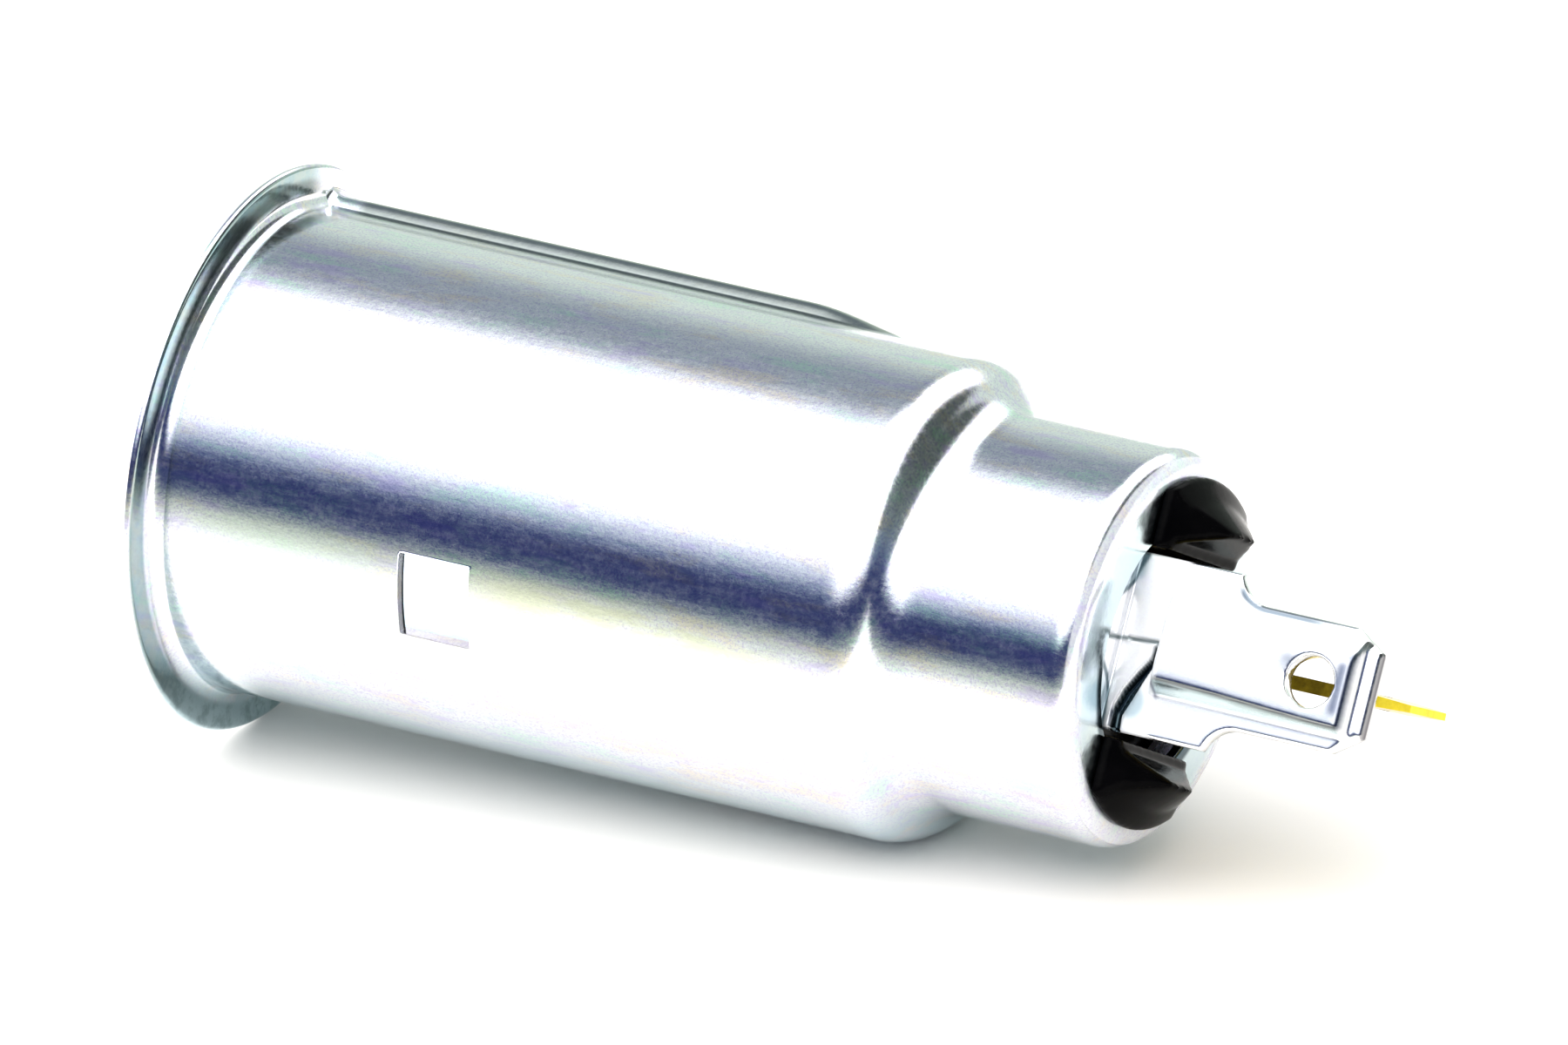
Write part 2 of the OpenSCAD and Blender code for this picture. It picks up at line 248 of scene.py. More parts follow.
def laminate(name):
    m, t, b = new_material(name)
    v = t.coords()
    flakes = t.node("ShaderNodeTexVoronoi")
    t.put(flakes.inputs["Vector"], v)
    flakes.inputs["Scale"].default_value = 1.6
    cloud = t.noise(v, 1.0, 4, 0.6)
    col = t.mix(t.ramp(cloud, 0.3, 0.7), (0.50, 0.41, 0.26), (0.66, 0.57, 0.40))
    col = t.mix(t.ramp(flakes.outputs["Distance"], 0.1, 0.6), col, (0.58, 0.48, 0.32))
    t.put(b.inputs["Base Color"], col)
    t.put(b.inputs["Roughness"], t.ramp(cloud, 0.3, 0.7, 0.45, 0.7))
    t.put(b.inputs["Normal"], t.bump(flakes.outputs["Distance"], 0.3, 0.00003))
    return m


MATERIALS = {
    "zinc": plated_steel("bright_zinc", (0.86, 0.88, 0.90), (0.78, 0.81, 0.84), rim=True),
    "tin": plated_steel("bright_tin", (0.97, 0.975, 0.98), (0.95, 0.955, 0.965), rough=(0.15, 0.22), grain=0.3, streak=0.2, tinted=0.2),
    "spring": plated_steel("spring_steel", (0.46, 0.47, 0.50), (0.36, 0.37, 0.40), rough=(0.22, 0.36)),
    "nickel": plated_steel("nickel", (0.80, 0.77, 0.70), (0.72, 0.69, 0.62), rough=(0.14, 0.24)),
    "brass": brass("rolled_brass"),
    "aged": aged_brass("aged_brass"),
    "black": black_plastic("moulded_black"),
    "mica": laminate("mica_laminate"),
}
NODE_MATERIAL = {
    "shell": "zinc", "insulator": "black", "ground_terminal": "tin", "centre_terminal": "brass",
    "centre_rivet": "aged", "rivet_washer": "aged", "contact_cup": "nickel", "mica_disc": "mica",
    "spring_washer": "spring",
}
for name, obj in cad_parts.items():
    mat = MATERIALS[NODE_MATERIAL[name]]
    obj.data.materials.clear()
    obj.data.materials.append(mat)


# the edges of the brass blade, rougher than its rolled faces, with painted shade along them and a painted highlight
# towards the tip
def brass_edge(name):
    m, t, b = new_material(name)
    v = t.coords()
    cloud = t.noise(v, 1.6, 4, 0.6)
    torn = t.noise(t.coords(scale=(1400, 1400, 300), rotation=(0.52, 0, 0)), 3.0, 3, 0.6)
    place = t.node("ShaderNodeSeparateXYZ")
    t.put(place.inputs[0], v)
    tip = t.ramp(place.outputs[0], 56.9, 58.0)
    # painted shade on the edges back from the tip, painted highlight on the tip
    painted_shade_edge = t.mix(t.ramp(cloud, 0.3, 0.7), (0.24, 0.17, 0.012), (0.12, 0.085, 0.008))
    painted_highlight_tip = t.mix(t.ramp(cloud, 0.3, 0.7), (0.92, 0.74, 0.05), (0.78, 0.60, 0.04))
    t.put(b.inputs["Base Color"], t.mix(tip, painted_shade_edge, painted_highlight_tip))
    b.inputs["Metallic"].default_value = 1.0
    t.put(b.inputs["Roughness"], t.math("ADD", t.ramp(torn, 0.3, 0.7, 0.32, 0.46), t.math("MULTIPLY", tip, 0.12)))
    t.put(b.inputs["Normal"], t.bump(torn, 0.5, 0.00002))
    return m


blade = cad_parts["centre_terminal"]
blade.data.materials.append(brass_edge("brass_edge_painted_light"))
across = Vector((0, math.sin(math.radians(27.5)), math.cos(math.radians(27.5))))
for p in blade.data.polygons:
    p.material_index = 0 if abs(p.normal.dot(across)) > 0.6 else 1


# ---------------------------------------------------------------- mesh helpers
def mesh_piece(name, verts, faces, material, stands_for=None, flat=()):
    """A mesh from points in millimetres; faces in flat are shaded flat."""
    me = bpy.data.meshes.new(name)
    me.from_pydata([(x * MM, y * MM, z * MM) for x, y, z in verts], [], faces)
    me.validate()
    me.update()
    flat = set(flat)
    for p in me.polygons:
        p.use_smooth = p.index not in flat
    me.materials.append(material)
    o = bpy.data.objects.new(name, me)
    scene.collection.objects.link(o)
    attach(o, "root")
    if stands_for:
        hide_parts(stands_for)
    return o


def arc(cx, cr, radius, a0, a1, n):
    """Points (x, r) on a circle, angles in degrees from +x towards +r, without the last."""
    return [(cx + radius * math.cos(math.radians(a0 + (a1 - a0) * i / n)),
             cr + radius * math.sin(math.radians(a0 + (a1 - a0) * i / n))) for i in range(n)]


def line(x0, r0, x1, r1, n):
    """Points (x, r) on a line, without the last."""
    return [(x0 + (x1 - x0) * i / n, r0 + (r1 - r0) * i / n) for i in range(n)]


def step01(x, a, b):
    t = min(1.0, max(0.0, (x - a) / (b - a)))
    return t * t * (3 - 2 * t)


# ---------------------------------------------------------------- the can
# one drawn sheet: a closed section turned about X, the key pressed out of it and two windows cut
WALL, R_OUT, R_FLANGE, R_NECK = 0.5, 11.2, 13.2, 9.25
R_IN = R_OUT - WALL
X_SHOULDER, X_END, R_OPEN = 34.3, 46.3, 5.8
SH, NF = 2.5, 1.95 / 0.4 - 2.5
X_NECK = X_SHOULDER + (SH + NF) * 0.8
STEEP = math.degrees(math.acos(0.6))
WINDOW_X = (12.9, 16.5)
WINDOW_HALF = math.degrees(math.asin(2.0 / R_OUT))
KEY_MID = 124.0
KEY_FOOT = math.degrees(1.78 / R_OUT)


def barrel_xs():
    xs = [0.7, 1.4, 2.4, 4.2, 6.6, 9.0, 11.2, 12.78, WINDOW_X[0], 13.02, 13.9, 14.7, 15.5, 16.38, WINDOW_X[1], 16.62,
          18.2, 20.2, 22.2, 23.8, 25.0]
    xs += [25.4 + 0.5 * k for k in range(13)]
    return xs + [32.4, 33.4]


XS = barrel_xs()
outer = line(-0.5, 11.9, -0.5, 12.95, 3)
outer += arc(-0.25, 12.95, 0.25, 180, 0, 12)
outer += line(0.0, 12.95, 0.0, 11.9, 5)
outer += arc(0.7, 11.9, 0.7, 180, 270, 12)
OUT_FIRST = len(outer)
outer += [(x, R_OUT) for x in XS]
OUT_LAST = len(outer)
outer += arc(X_SHOULDER, R_OUT - SH, SH, 90, 90 - STEEP, 18)
outer += arc(X_NECK, R_NECK + NF, NF, 270 - STEEP, 270, 14)
outer += line(X_NECK, R_NECK, 45.1, R_NECK, 6)
outer += arc(45.1, R_NECK - 1.2, 1.2, 90, 0, 16)
outer += line(X_END, R_NECK - 1.2, X_END, R_OPEN + 0.16, 6)
outer += arc(X_END - 0.16, R_OPEN + 0.16, 0.16, 0, -90, 5)
outer += line(X_END - 0.16, R_OPEN, X_END - WALL, R_OPEN, 2)
N_OUTER = len(outer)
inner = line(X_END - WALL, R_OPEN, X_END - WALL, R_NECK - 1.2, 3)
inner += arc(45.1, R_NECK - 1.2, 0.7, 0, 90, 8)
inner += line(45.1, R_NECK - WALL, X_NECK, R_NECK - WALL, 4)
inner += arc(X_NECK, R_NECK + NF, NF + WALL, 270, 270 - STEEP, 10)
inner += arc(X_SHOULDER, R_OUT - SH, SH - WALL, 90 - STEEP, 90, 12)
IN_FIRST = N_OUTER + len(inner)
inner += [(X_SHOULDER, R_IN)] + [(x, R_IN) for x in reversed(XS)][:-1]
inner += arc(0.7, 11.9, 1.2, 270, 180, 14)
SECTION = outer + inner


def angles():
    """Degrees above the -Y side; finer round the key, with breaks at the windows' edges."""
    marks = set()
    a = -60.0
    while a < 300:
        near_key = abs((a - KEY_MID + 180) % 360 - 180) < 14
        marks.add(round(a, 3))
        a += 0.5 if near_key else 2.0
    for sign in (-1, 1):
        for foot in (KEY_FOOT, KEY_FOOT - math.degrees(WALL * 0.9 / R_OUT)):
            c = round(KEY_MID + sign * foot, 3)
            marks = {m for m in marks if abs(m - c) > 0.2}
            marks |= {round(c - 0.16, 3), round(c - 0.03, 3), round(c + 0.03, 3), round(c + 0.16, 3)}
    for c in (0.0, 180.0):
        for e in (-WINDOW_HALF, WINDOW_HALF):
            marks = {m for m in marks if abs(m - c - e) > 0.9}
            marks |= {round(c + e - 0.6, 3), round(c + e, 3), round(c + e + 0.6, 3)}
    return sorted(marks)


ANG = angles()


def key_lift(radius_in, x, degrees_off):
    """How far the pressed key stands out of a wall of that radius."""
    s = abs(math.radians(degrees_off) * R_OUT)
    w = (R_OUT - radius_in) * 0.9
    swell = 0.2 * min(1.0, max(0.0, (3.0 - w - s) / 1.2))
    q, top, k = 1.4 * max(0.0, 1.78 - w - s), 0.56, 0.3
    step = 0.5 * (q + top - math.sqrt((q - top) ** 2 + k * k)) - 0.5 * (top - math.sqrt(top * top + k * k))
    run = 1.0 - step01(x, 25.0, 31.4)
    if w:
        run *= step01(x, 0.9, 2.4)
    return (swell + step) * run


def can_piece():
    verts, faces, flat = [], [], []
    n, m = len(ANG), len(SECTION)
    for i, (x, rad) in enumerate(SECTION):
        outside = i < N_OUTER
        for a in ANG:
            off = (a - KEY_MID + 180) % 360 - 180
            q = rad
            if abs(off) < 15 and x < 33:
                if outside and x > 0.0:
                    lift = key_lift(R_OUT, x, off)
                    q = rad + lift * (1.0 if x >= 0.7 else min(1.0, (R_FLANGE - 0.45 - rad) / 1.55))
                elif not outside and x > 0.7:
                    q = rad + key_lift(R_IN, x, off)
            t = math.radians(a)
            verts.append((x, -q * math.cos(t), q * math.sin(t)))
    wj = {}
    for w, c in enumerate((0.0, 180.0)):
        lo = min(range(n), key=lambda j: abs(ANG[j] - (c - WINDOW_HALF)))
        hi = min(range(n), key=lambda j: abs(ANG[j] - (c + WINDOW_HALF)))
        wj[w] = (lo, hi)
    out_x = {round(x, 3): OUT_FIRST + k for k, x in enumerate(XS)}
    in_x = {round(SECTION[i][0], 3): i for i in range(IN_FIRST, IN_FIRST + len(XS))}
    o0, o1 = out_x[WINDOW_X[0]], out_x[WINDOW_X[1]]
    i1, i0 = in_x[WINDOW_X[1]], in_x[WINDOW_X[0]]
    for i in range(m):
        i2 = (i + 1) % m
        for j in range(n):
            j2 = (j + 1) % n
            cut = any(lo <= j < hi and (o0 <= i < o1 or i1 <= i < i0) for lo, hi in wj.values())
            if not cut:
                faces.append((i * n + j, i2 * n + j, i2 * n + j2, i * n + j2))
    # walls of the windows
    for lo, hi in wj.values():
        ring_o = [(o0, j) for j in range(lo, hi)] + [(i, hi) for i in range(o0, o1)]
        ring_o += [(o1, j) for j in range(hi, lo, -1)] + [(i, lo) for i in range(o1, o0, -1)]
        ring_i = [(i0, j) for j in range(lo, hi)] + [(i0 - (i - o0), hi) for i in range(o0, o1)]
        ring_i += [(i1, j) for j in range(hi, lo, -1)] + [(i1 + (o1 - i), lo) for i in range(o1, o0, -1)]
        k = len(ring_o)
        for a in range(k):
            b = (a + 1) % k
            flat.append(len(faces))
            faces.append((ring_o[a][0] * n + ring_o[a][1], ring_o[b][0] * n + ring_o[b][1],
                          ring_i[b][0] * n + ring_i[b][1], ring_i[a][0] * n + ring_i[a][1]))
    o = mesh_piece("socket_can", verts, faces, MATERIALS["zinc"], "shell", flat)
    return o


can = can_piece()


# ---------------------------------------------------------------- the ground terminal
# one bent strip, laid out flat: t along the strip (t = x on the blade), w across it,
# and a depth behind the face that looks outward
TURN = math.radians(30.0)
SHEET, FACE_D = 0.8, 3.8
BEND_X, BEND_D, BEND_R = 46.0, 4.0, 0.2
T_BEND = BEND_X - (BEND_R + 0.5 * SHEET) * math.pi / 2
# paths as (t, w, half width): the tongue and wedge are shallow grooves with painted shade in them; the crease and lower
# paths carry painted shade lines only
WEDGE = [(47.70, -0.10, 0.09), (47.72, -0.60, 0.13), (47.27, -1.42, 0.22), (46.87, -2.30, 0.30), (46.52, -3.30, 0.27),
         (46.58, -4.10, 0.27)]
TONGUE = [(43.1, -0.10, 0.06), (46.0, 0.10, 0.06), (47.72, 0.22, 0.06), (47.78, 0.05, 0.07), (47.70, -0.10, 0.09)]
CREASE_SHADE_LINE = [(46.2, 3.95, 0.13), (45.7, 2.75, 0.13), (43.9, 1.80, 0.13), (43.1, 0.50, 0.12)]
LOWER_SHADE_LINE = [(43.1, -0.40, 0.12), (44.6, -1.50, 0.12), (45.7, -2.40, 0.14), (45.9, -3.40, 0.16), (45.9, -4.10, 0.16)]
HOLE_X, HOLE_R = 55.9, 1.2


def soft(v, k):
    return 0.5 * (v + math.sqrt(v * v + k * k))


def soft_max(a, b, k):
    return 0.5 * (a + b + math.sqrt((a - b) ** 2 + k * k))


def seg_distance(px, py, ax, ay, bx, by):
    dx, dy = bx - ax, by - ay
    f = min(1.0, max(0.0, ((px - ax) * dx + (py - ay) * dy) / (dx * dx + dy * dy)))
    return math.hypot(px - ax - f * dx, py - ay - f * dy)


def line_inside(t, w, pts):
    """How far a point lies inside a line of changing width, negative outside it."""
    best = -9.0
    for (ax, ay, ar), (bx, by, br) in zip(pts, pts[1:]):
        dx, dy = bx - ax, by - ay
        f = min(1.0, max(0.0, ((t - ax) * dx + (w - ay) * dy) / (dx * dx + dy * dy)))
        best = max(best, ar + f * (br - ar) - math.hypot(t - ax - f * dx, w - ay - f * dy))
    return best


def over(base, colour, amount):
    """Lays one tone over another; a tone is red, green, blue and strength."""
    if amount <= 0.001:
        return base
    a = amount + base[3] * (1 - amount)
    return tuple((c * amount + b * base[3] * (1 - amount)) / a for c, b in zip(colour, base[:3])) + (a,)


def low_edge(t):
    """Half width of the raised panel below the middle; it grows towards the tip."""
    return 1.45 + 0.36 * step01(t, 48.0, 58.5) * 1.0


def strip_painted_shade(t, w, s):
    """Painted shade and painted reflections on the outward face, and how satin it is."""
    tone = (0.0, 0.0, 0.0, 0.0)
    panel = step01(t, 48.0, 48.3) * (1 - step01(t, 57.65, 57.8))
    # painted dark reflection on the end wall, and painted shade along the rim of the raised panel and beside the hole
    q = (t - 57.72) / 0.17
    tone = over(tone, (0.045, 0.065, 0.105), 0.85 * math.exp(-q * q) * step01(w, -2.1, -1.7) * (1 - step01(w, 1.5, 2.0)))
    q = (t - 57.35) / 0.3
    tone = over(tone, (0.17, 0.20, 0.29), 0.9 * math.exp(-q * q) * step01(w, -1.6, -1.0) * (1 - step01(w, 0.9, 1.6)))
    q = (w - 1.45) / 0.13
    tone = over(tone, (0.24, 0.27, 0.36), 0.75 * math.exp(-q * q) * step01(t, 52.8, 55.4) * panel)
    q = math.hypot(t - 54.62, w - 0.78) / 0.5
    tone = over(tone, (0.23, 0.27, 0.36), 0.65 * math.exp(-q * q) * panel)
    # painted pale reflection on the wall under the panel, and a painted shade line along its upper fold
    wall = step01(w, -2.15, -2.0) * (1 - step01(w, -low_edge(t) - 0.1, -low_edge(t))) * panel
    tone = over(tone, (0.50, 0.64, 0.65), 0.8 * wall)
    q = (w + low_edge(t)) / 0.105
    tone = over(tone, (0.022, 0.032, 0.034), 0.93 * math.exp(-q * q) * panel * step01(t, 48.0, 48.5))
    # painted shade line at the start of the panel
    q = (t - 48.05 - 0.25 * max(0.0, -w - 1.4)) / 0.1
    tone = over(tone, (0.11, 0.12, 0.19), 0.8 * math.exp(-q * q) * (1 - step01(w, -1.2, -0.7)) * step01(w, -2.5, -2.1))
    # painted bluish shade along the rolled upper edge, from the hook at the shoulder
    if 50.9 < t < 57.2 and w > 0:
        up = math.hypot(t - 52.6, w - 4.5) - 1.6 if t < 52.6 else 2.9 - w
        line = step01(up, 0.02, 0.12) * (1 - step01(up, 0.24, 0.42)) * step01(t, 50.95, 51.3) * (1 - step01(t, 54.8, 57.0))
        tone = over(tone, (0.145, 0.187, 0.235), 0.95 * line)
    # painted dark shade along the sheared tip
    tone = over(tone, (0.05, 0.045, 0.055), 0.9 * step01(t, 58.52, 58.62) * step01(w, -2.4, -1.9))
    # the foot and the root: how satin they are, painted pale and bluish reflections, painted shade lines, and painted
    # shade in the grooves
    satin = 0.5 + 0.25 * step01(t, 46.0, 46.6) - 0.75 * step01(t, 48.1, 48.6)
    q = (w + 2.12) / 0.16
    satin = max(satin, 0.7 * math.exp(-q * q) * step01(t, 48.0, 48.6) * (1 - step01(t, 57.0, 58.0)))
    if t < 46.6:
        cut = line_inside(t, w, [(x, y, 0.0) for x, y, r in CREASE_SHADE_LINE])
        outer_side = step01(w, 0.3, 0.9) if t < 44.0 else step01(w - 1.8 - (t - 43.9) * 0.5, -0.2, 0.2)
        tone = over(tone, (0.42, 0.56, 0.60), 0.8 * outer_side * (1 - step01(t, 46.0, 46.5)) * (1 - step01(-cut, 2.0, 3.0)))
        tone = over(tone, (0.40, 0.54, 0.60), 0.8 * (1 - step01(w, -2.6, -1.2)) * (1 - step01(t, 45.6, 46.1)))
        # painted shade lines along the crease and the lower edge
        for path in (CREASE_SHADE_LINE, LOWER_SHADE_LINE):
            k = line_inside(t, w, path)
            tone = over(tone, (0.06, 0.115, 0.135), 0.9 * step01(k, -0.1, 0.06))
    if t < 48.6:
        # painted bluish reflection patch low on the root
        q = math.hypot((t - 47.2) / 0.75, (w + 2.7) / 0.9)
        tone = over(tone, (0.33, 0.45, 0.52), 0.75 * (1 - step01(q, 0.5, 1.1)))
        # painted shade in the tongue and wedge grooves
        k = line_inside(t, w, TONGUE)
        tone = over(tone, (0.05, 0.10, 0.105), 0.85 * step01(k, -0.1, 0.03))
        k = line_inside(t, w, WEDGE)
        tone = over(tone, (0.028, 0.055, 0.068), 0.97 * step01(k, -0.09, 0.05))
        satin *= 1 - step01(k, -0.05, 0.05)
    return tone, satin


def strip_edge(t, w):
    """Distance from the edge of the strip, positive in the metal; the hole counts as an edge."""
    a = abs(w)
    wide = min(4.1 - a, 52.6 - t)
    if t > 50.6 and a > 2.6:
        wide = min(wide, math.hypot(t - 52.6, a - 4.5) - 1.6)
    s = max(wide, 2.9 - a)
    s = min(s, 58.7 - t, -((t - 57.3) * 0.5615 + (a - 2.9) * 0.8274))
    s = min(s, math.hypot(t - HOLE_X, w) - HOLE_R)
    if t < BEND_X:
        d = BEND_D + max(0.0, T_BEND - t)
        s = min(s, 7.8 - math.hypot(d, w))
    return s


def bead_rise(t, w, half, rise, x0, x1, k):
    low = half + low_edge(t) - 1.45
    g = soft_max(soft_max((w - half) / 1.5, (-low - w) / (0.75 - 0.86 * (low - half)), k),
                 soft_max((t - x1) / 0.5, (x0 - t) / 0.3, k), k)
    return soft(rise - soft(g, k), k * 0.6) - soft(-2.0, k * 0.6)


def strip_faces(t, w, s):
    """Depths of the outward and inward face at a point."""
    r = 0.16 + 0.26 * step01(t, 57.1, 57.9)
    e = r - math.sqrt(max(0.0, r * r - (r - min(s, r)) ** 2))
    e_back = 0.14 - math.sqrt(max(0.0, 0.14 ** 2 - (0.14 - min(s, 0.14)) ** 2))
    front, back = 0.0, SHEET
    if t > 47.0:
        front = -bead_rise(t, w, 1.45, 0.86, 48.15, 57.65, 0.14)
        back -= max(0.0, min(0.74, bead_rise(t, w, 0.7, 0.8, 49.1, 57.1, 0.12)))
    if 46.3 < t < 48.5:
        front += 0.22 * step01(line_inside(t, w, TONGUE), -0.08, 0.06) + 0.55 * step01(line_inside(t, w, WEDGE), -0.1, 0.16)
    return front + e, back - e_back


def strip_point(t, w, h):
    """Position in millimetres of a point at depth h behind the outward face."""
    if t >= BEND_X:
        x, d = t, FACE_D - h
    elif t >= T_BEND:
        q = (BEND_X - t) / (BEND_X - T_BEND) * math.pi / 2
        x, d = BEND_X - (BEND_R + h) * math.sin(q), BEND_D - (BEND_R + h) * math.cos(q)
    else:
        x, d = BEND_X - BEND_R - h, BEND_D + (T_BEND - t)
    c, q = math.cos(TURN), math.sin(TURN)
    return (x, -d * c + w * q, d * q + w * c)


def strip_piece(step):
    t0, w0 = T_BEND - 3.9, -4.16
    nt, nw = int((58.8 - t0) / step) + 2, int(8.32 / step) + 2
    edge = {}
    for i in range(nt):
        for j in range(nw):
            edge[i, j] = strip_edge(t0 + i * step, w0 + j * step)
    moved = {}
    for (i, j), s in edge.items():
        for di, dj in ((1, 0), (-1, 0), (0, 1), (0, -1)):
            o = edge.get((i + di, j + dj))
            if o is not None and (s >= 0) != (o >= 0) and abs(s) <= abs(o) + 1e-9:
                t, w = t0 + i * step, w0 + j * step
                for _ in range(3):
                    e = strip_edge(t, w)
                    gt = (strip_edge(t + 1e-4, w) - strip_edge(t - 1e-4, w)) / 2e-4
                    gw = (strip_edge(t, w + 1e-4) - strip_edge(t, w - 1e-4)) / 2e-4
                    n = max(0.3, gt * gt + gw * gw)
                    t, w = t - e * gt / n, w - e * gw / n
                if math.hypot(t - t0 - i * step, w - w0 - j * step) < step:
                    moved[i, j] = (t, w)
                break
    verts, index, sides, painted_shades, satins = [], {}, [], [], []
    for key, s in edge.items():
        if s > 0 or key in moved:
            t, w = moved.get(key, (t0 + key[0] * step, w0 + key[1] * step))
            f, b = strip_faces(t, w, 0.0 if key in moved else s)
            index[key] = len(verts)
            verts += [strip_point(t, w, f), strip_point(t, w, b)]
            # painted shade and painted reflections for the outward face; the inward face gets none
            front_painted_shade, satin = strip_painted_shade(t, w, s)
            painted_shades += [front_painted_shade, (front_painted_shade[:3] + (0.0,))]
            satins += [satin, 0.0]
    faces = []
    for i in range(nt - 1):
        for j in range(nw - 1):
            k = [index[c] for c in ((i, j), (i + 1, j), (i + 1, j + 1), (i, j + 1)) if c in index]
            if len(k) >= 3:
                faces.append(tuple(k))
                sides.append(tuple(k))
    count = {}
    for k in sides:
        for a, b in zip(k, k[1:] + k[:1]):
            count[a, b] = True
    faces = [tuple(reversed(k)) for k in faces] + [tuple(v + 1 for v in k) for k in sides]
    for a, b in count:
        if (b, a) not in count:
            faces.append((a, b, b + 1, a + 1))
    # points that belong to no face are left out
    used = sorted({v for k in faces for v in k})
    new = {v: n for n, v in enumerate(used)}
    o = mesh_piece("ground_strip", [verts[v] for v in used], [tuple(new[v] for v in k) for k in faces],
                   MATERIALS["tin"], "ground_terminal")
    if len(o.data.vertices) == len(used):
        # the painted shade and reflections of each point, and how satin it is
        attr = o.data.attributes.new("tone", "FLOAT_COLOR", "POINT")
        attr.data.foreach_set("color", [c for v in used for c in painted_shades[v]])
        attr = o.data.attributes.new("satin", "FLOAT", "POINT")
        attr.data.foreach_set("value", [satins[v] for v in used])
    return o


strip = strip_piece(0.085)


# ---------------------------------------------------------------- the moulded insulator
def rounded_copy(name, source, voxel, rounds, material, slot):
    """A copy of a node with its edges softened."""
    me = source.data.copy()
    o = bpy.data.objects.new(name, me)
    o.matrix_world = source.matrix_world.copy()
    scene.collection.objects.link(o)
    m = o.modifiers.new("even", "REMESH")
    m.mode = "VOXEL"
    m.voxel_size = voxel * MM
    m.use_smooth_shade = True
    q = o.modifiers.new("soft", "SMOOTH")
    q.factor = 0.5
    q.iterations = rounds
    bpy.context.view_layer.update()
    done = bpy.data.meshes.new_from_object(o.evaluated_get(bpy.context.evaluated_depsgraph_get()))
    o.modifiers.clear()
    o.data = done
    done.materials.clear()
    done.materials.append(material)
    for p in done.polygons:
        p.use_smooth = True
    return o


insulator_body = rounded_copy("insulator_body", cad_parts["insulator"], 0.14, 12, MATERIALS["black"], "black_plastic")
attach(insulator_body, "root")
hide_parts("insulator")

# ---------------------------------------------------------------- floor
# the can lies on the rim of its flange and the end of its barrel
A = Vector((-0.25, 0, -13.2)) * MM
B = Vector((34.3, 0, -11.2)) * MM
slope = math.atan2(B.z - A.z, B.x - A.x)
bpy.ops.mesh.primitive_plane_add(size=1.0, location=(0, 0, 0))
floor = bpy.context.object
floor.name = "floor"
floor.scale = (0.5, 0.395, 1)
floor.rotation_euler = (0, -slope, 0)
mid = (A + B) / 2
floor.location = mid + Vector((0, 0.1525, -0.00003))
fm, ft, fb = new_material("floor_paper")
fv = ft.coords(scale=(1, 1, 1))
ft.put(fb.inputs["Base Color"], ft.mix(ft.noise(fv, 40.0, 3, 0.5), (0.85, 0.82, 0.79), (0.88, 0.85, 0.82)))
fb.inputs["Roughness"].default_value = 0.9
floor.data.materials.append(fm)

# ---------------------------------------------------------------- surroundings
# a light tent, open at the front, with a grey seam overhead at the back
world = bpy.data.worlds.new("light_tent")
scene.world = world
w = Tree(clean_tree(world))
out = w.node("ShaderNodeOutputWorld")
bg = w.node("ShaderNodeBackground")
w.t.links.new(bg.outputs[0], out.inputs[0])
tc = w.node("ShaderNodeTexCoord")
sep = w.node("ShaderNodeSeparateXYZ")
w.put(sep.inputs[0], tc.outputs["Generated"])
x, y, z = sep.outputs
elev = w.math("MULTIPLY", w.math("ARCSINE", z), 180 / math.pi)
azim = w.math("MULTIPLY", w.math("ARCTAN2", x, w.math("MULTIPLY", y, -1.0)), 180 / math.pi)


def band(value, a0, a1, b0, b1):
    """1 between a1 and b0, falling to 0 at a0 and b1."""
    return w.math("MULTIPLY", w.ramp(value, a0, a1), w.ramp(value, b0, b1, 1.0, 0.0))


white = (2.6, 2.62, 2.62)
col = w.mix(w.ramp(elev, -30.0, -85.0), white, (1.9, 2.1, 2.2))
absaz = w.math("ABSOLUTE", azim)
# pale back wall
side = w.math("MULTIPLY", w.ramp(azim, -172.0, -160.0), w.ramp(azim, -60.0, 0.0, 1.0, 0.0))
top0 = w.math("ADD", 14.0, w.math("MULTIPLY", side, 36.0))
top1 = w.math("ADD", 28.0, w.math("MULTIPLY", side, 38.0))
back = w.math("MULTIPLY", w.ramp(absaz, 108.0, 140.0), band(elev, -50.0, -15.0, top0, top1))
col = w.mix(back, col, (0.74, 0.85, 0.76))
# grey seam overhead, on both sides of the back
left = w.math("MULTIPLY", band(azim, -168.0, -156.0, -120.0, -95.0), band(elev, 12.0, 40.0, 50.0, 75.0))
col = w.mix(w.math("MULTIPLY", left, 0.86), col, (0.24, 0.28, 0.35))
# dark wall on the right, towards the back: a soft disc in direction
ra, re = math.radians(115.0), math.radians(8.0)
dot = w.node("ShaderNodeVectorMath", operation="DOT_PRODUCT")
w.put(dot.inputs[0], tc.outputs["Generated"])
dot.inputs[1].default_value = (math.cos(re) * math.sin(ra), -math.cos(re) * math.cos(ra), math.sin(re))
away = w.math("MULTIPLY", w.math("ARCCOSINE", dot.outputs["Value"]), 180 / math.pi)
low = w.ramp(azim, 90.0, 135.0, -8.0, 14.0)
wall = w.math("MULTIPLY", w.ramp(away, 45.0, 54.0, 1.0, 0.0), w.ramp(w.math("SUBTRACT", elev, low), 0.0, 11.0))
shade = w.mix(w.ramp(azim, 75.0, 120.0), (0.14, 0.19, 0.18), (0.05, 0.07, 0.062))
col = w.mix(w.math("MULTIPLY", wall, 0.985), col, shade)
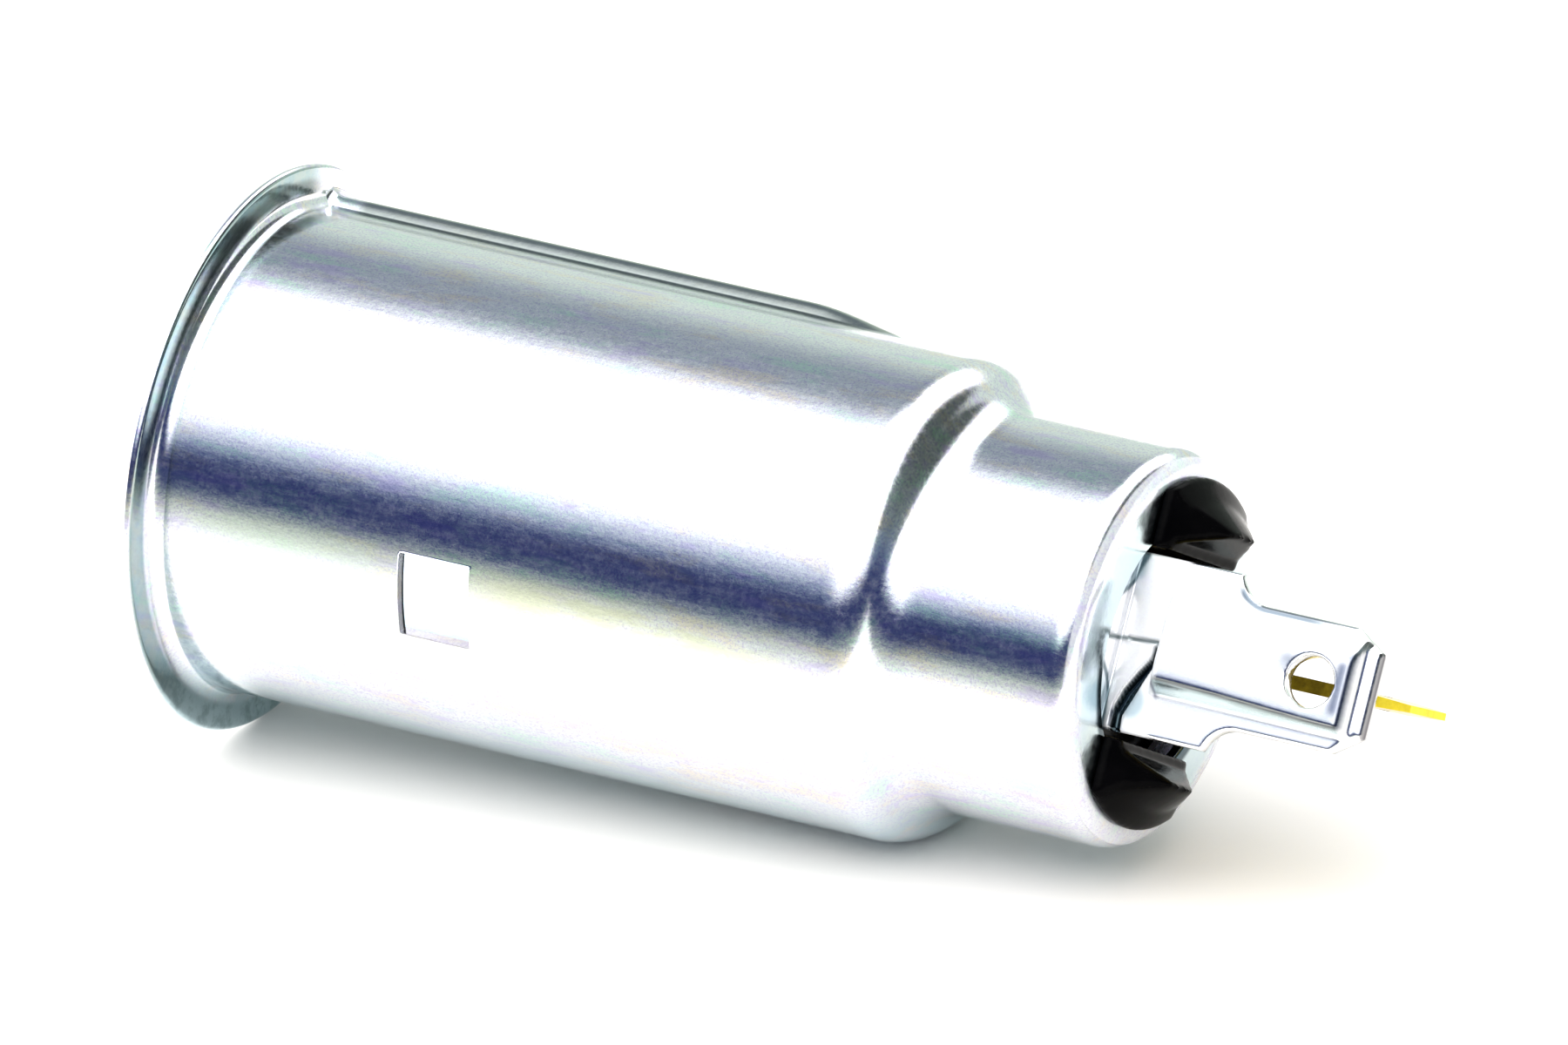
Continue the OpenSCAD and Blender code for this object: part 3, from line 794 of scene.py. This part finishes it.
# dark opening at the front, with a bluish upper and a greenish lower edge
open_az = band(azim, -58.0, -40.0, 76.0, 95.0)
right = w.ramp(azim, -12.0, 14.0)
edge0 = w.math("SUBTRACT", 14.0, w.math("MULTIPLY", right, 3.0))
edge1 = w.math("SUBTRACT", 48.0, w.math("MULTIPLY", right, 14.0))
glow = w.math("MULTIPLY", band(elev, -38.0, 2.0, edge0, edge1), open_az)
tint = w.mix(w.ramp(elev, -12.0, 8.0), (0.24, 0.30, 0.18), (0.18, 0.26, 0.42))
col = w.mix(glow, col, tint)
front = w.math("MULTIPLY", band(elev, -6.0, 3.0, 12.0, 22.0), open_az)
col = w.mix(front, col, (0.032, 0.045, 0.145))
# behind the object the tent is plain white
seen = w.node("ShaderNodeLightPath")
col = w.mix(seen.outputs["Is Camera Ray"], col, (1.3, 1.3, 1.3))
w.put(bg.inputs["Color"], col)
bg.inputs["Strength"].default_value = 1.0

# a soft panel high at the front evens out the floor; the metal mirrors only the tent
lamp = bpy.data.lights.new("front_panel", "AREA")
lamp.shape = "RECTANGLE"
lamp.size, lamp.size_y = 0.5, 0.4
lamp.energy = 1.7
lamp.color = (1.0, 0.99, 0.97)
panel = bpy.data.objects.new("front_panel", lamp)
panel.location = (0.0, -0.42, 0.50)
panel.rotation_euler = (Vector((0.02, -0.02, -0.01)) - Vector(panel.location)).to_track_quat("-Z", "Y").to_euler()
panel.visible_glossy = False
panel.visible_camera = False
scene.collection.objects.link(panel)

# ---------------------------------------------------------------- camera
AZ, EL, DIST, PX = math.radians(29.0), math.radians(24.4), 2.0, 25.3
c = Vector((math.cos(EL) * math.sin(AZ), -math.cos(EL) * math.cos(AZ), math.sin(EL)))
r = Vector((math.cos(AZ), math.sin(AZ), 0))
u = c.cross(r)
wdir = c.cross(Vector((1, 0, 0))).normalized()
if wdir.z < 0:
    wdir = -wdir
target = (Vector((26.2, 0, 0)) + 1.9 * wdir) * MM
cam = bpy.data.cameras.new("camera")
cam.sensor_width = 36.0
cam.lens = 36.0 * DIST * 1000 * PX / 1800
cam.clip_start = 0.01
cam.clip_end = 20.0
camera = bpy.data.objects.new("camera", cam)
scene.collection.objects.link(camera)
rot = Matrix((r, u, c)).transposed().to_4x4()
camera.matrix_world = Matrix.Translation(target + DIST * c) @ rot
scene.camera = camera

scene.view_settings.view_transform = "Standard"
scene.view_settings.look = "None"
